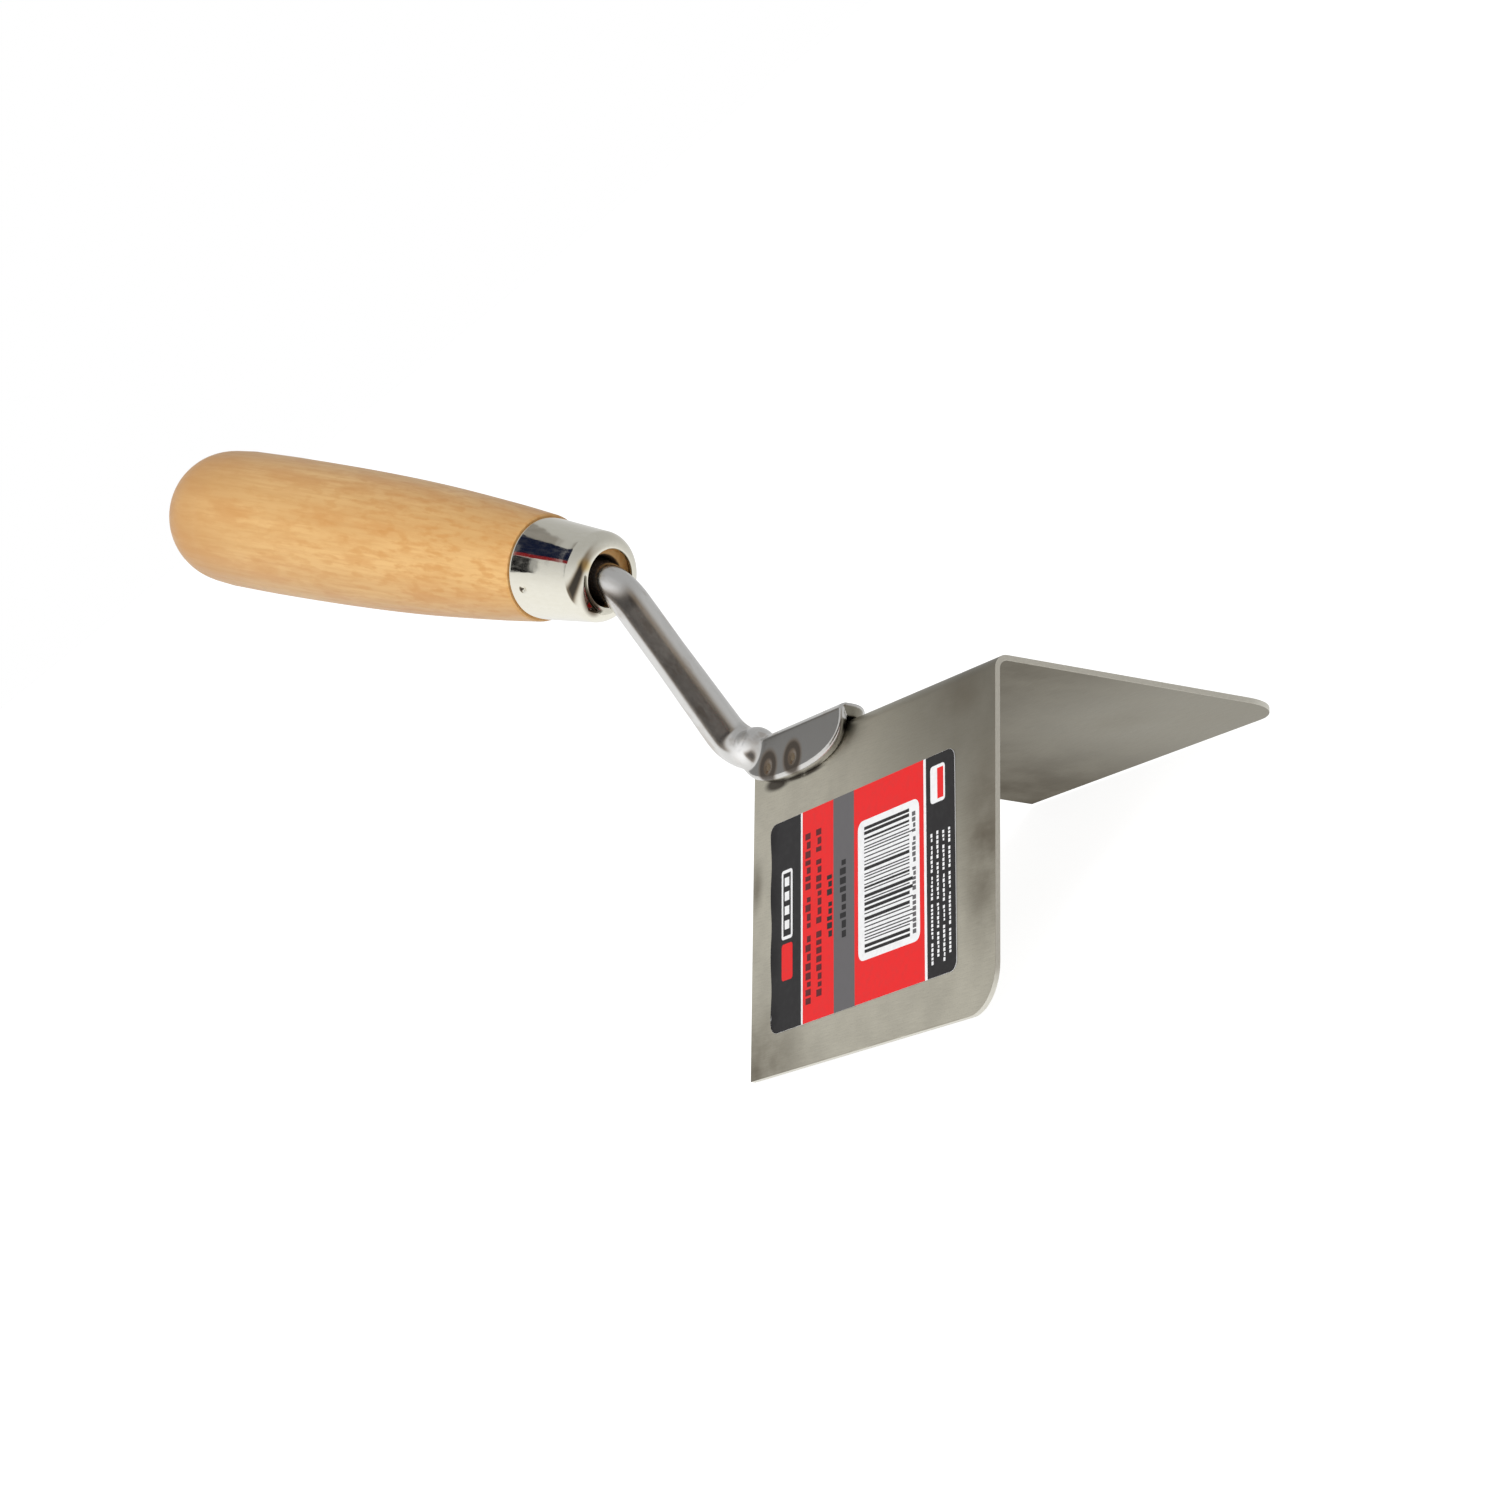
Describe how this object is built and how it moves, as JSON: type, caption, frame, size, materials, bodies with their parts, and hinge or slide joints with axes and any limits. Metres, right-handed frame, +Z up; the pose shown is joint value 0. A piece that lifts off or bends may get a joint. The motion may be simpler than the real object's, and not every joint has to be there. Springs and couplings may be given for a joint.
{
  "type": "outside corner trowel",
  "caption": "Outside corner trowel: a right-angle folded steel blade spot-welded under a cranked steel tang, with a turned wooden handle and a bright ferrule.",
  "frame": {"origin": "on the inside corner line of the folded blade, half way along it", "axes": "+X along the fold towards the rounded nose, +Y across to the wing without the label, +Z up out of the convex side where the handle is"},
  "size_m": [0.1932, 0.0848, 0.1441],
  "materials": {
    "blade_steel": "satin rolled sheet",
    "weld_steel": "heat tinted",
    "tang_steel": "forged and tumbled",
    "handle_wood": "satin lacquer over beech",
    "ferrule_plate": "bright plated",
    "label_paper": "printed sticker"
  },
  "bodies": {
    "root": {"blade": "blade_steel", "spot_welds": "weld_steel", "tang": "tang_steel", "handle": "handle_wood", "ferrule": "ferrule_plate", "label": "label_paper"}
  },
  "joints": []
}
